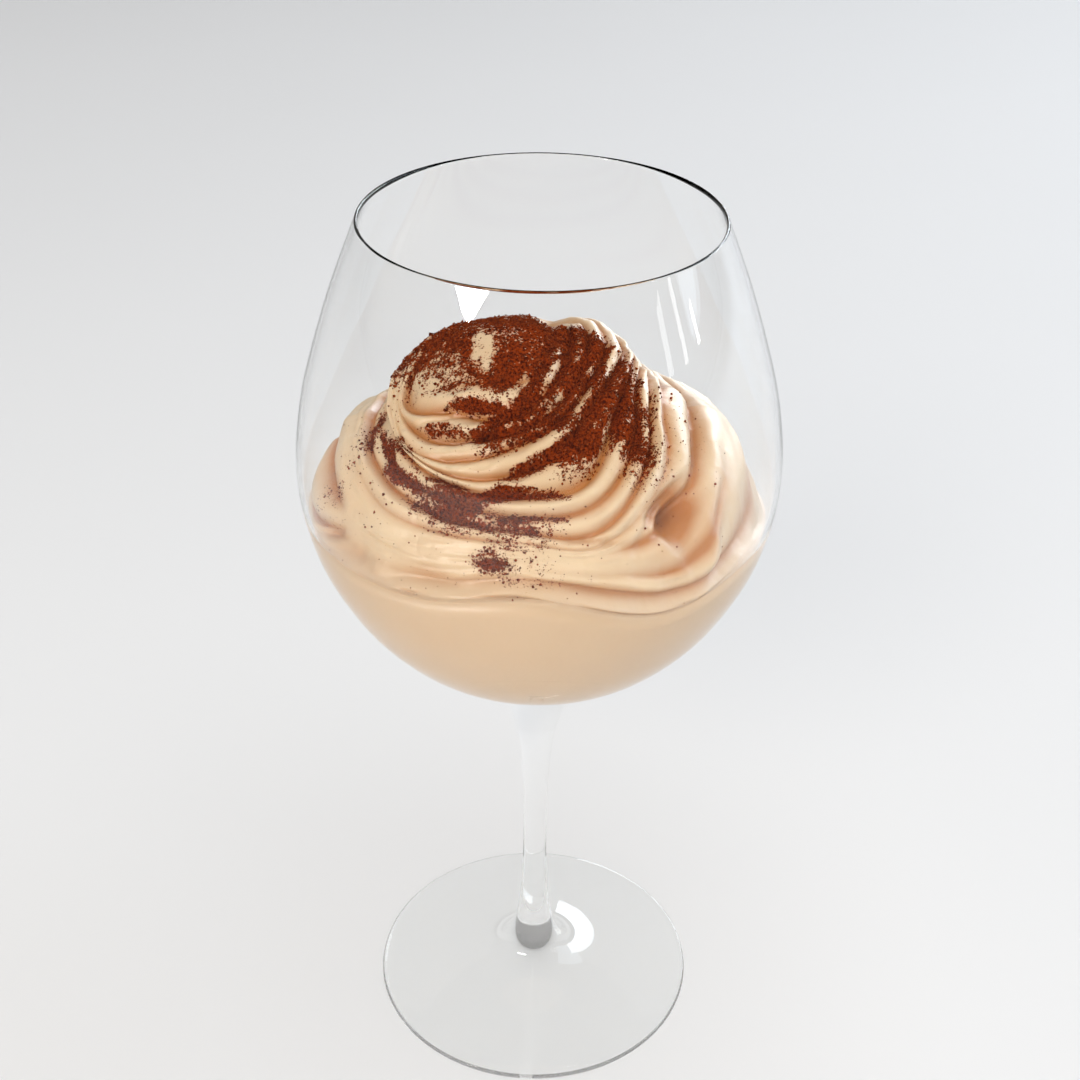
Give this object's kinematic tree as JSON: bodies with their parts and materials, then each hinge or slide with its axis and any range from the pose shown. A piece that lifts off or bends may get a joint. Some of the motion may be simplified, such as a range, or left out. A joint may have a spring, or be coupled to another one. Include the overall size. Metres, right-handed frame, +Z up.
{
  "type": "chocolate mousse in a wine glass",
  "caption": "Stemmed balloon wine glass filled with pale chocolate mousse, piped in an off-centre swirl of ridges and dusted with cocoa.",
  "frame": {"origin": "centre of the foot's flat underside, on the surface that the glass stands on", "axes": "+Z up along the stem's axis; +X to the right and -Y to the front, where the eye of the swirl lies"},
  "size_m": [0.1066, 0.1066, 0.2127],
  "materials": {
    "clear_glass": "clear polished thin-walled glass",
    "chocolate_mousse": "soft moist satin cream, pale caramel brown, dusted with cocoa",
    "cocoa_powder": "dry matte red-brown powder"
  },
  "bodies": {
    "root": {"wine_glass": "clear_glass", "mousse": "chocolate_mousse"}
  },
  "joints": []
}
